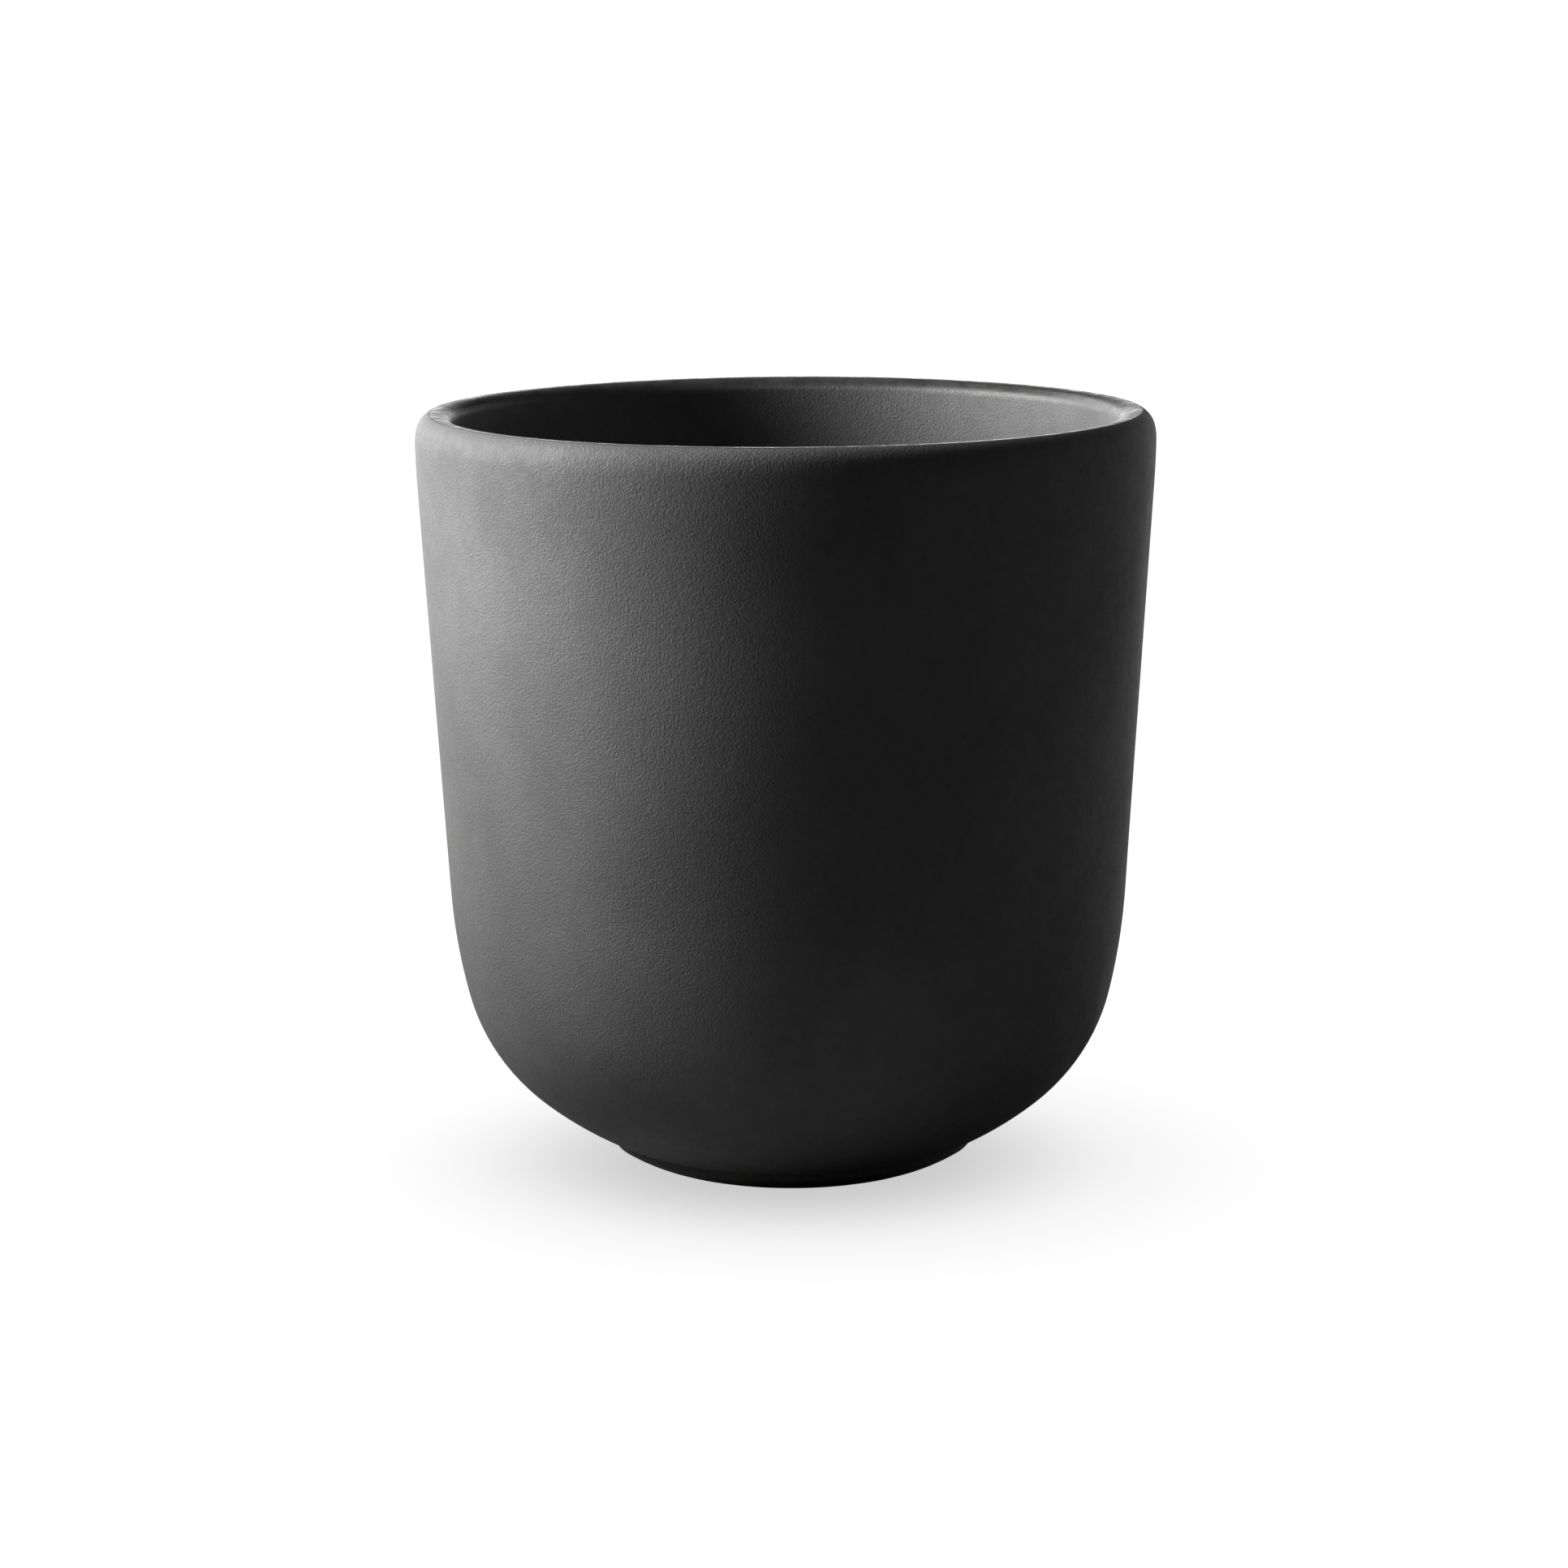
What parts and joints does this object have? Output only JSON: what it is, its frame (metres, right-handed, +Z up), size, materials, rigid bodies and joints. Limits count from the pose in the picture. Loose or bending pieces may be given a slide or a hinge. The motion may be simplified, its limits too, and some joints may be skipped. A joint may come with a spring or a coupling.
{
  "type": "empty candle jar",
  "caption": "Round, gently tapered stoneware tumbler with a thick rolled lip, rounded base and small foot ring, matt black, for holding a poured candle.",
  "frame": {"origin": "on the jar's axis, on the plane that the foot ring stands on", "axes": "+Z up, along the jar's axis from the foot to the mouth; X and Y are equivalent"},
  "size_m": [0.09, 0.09, 0.0935],
  "materials": {
    "body_clay": "unglazed, matt",
    "foot_clay": "unglazed, matt, fine sand",
    "outer_coat": "matt black, fine speckled grain",
    "liner_coat": "matt black, faintly mottled",
    "underside_coat": "matt black"
  },
  "bodies": {
    "root": {"stoneware_body": "body_clay", "foot_ring": "foot_clay", "outer_glaze": "outer_coat", "inner_glaze": "liner_coat", "underside_glaze": "underside_coat"}
  },
  "joints": []
}
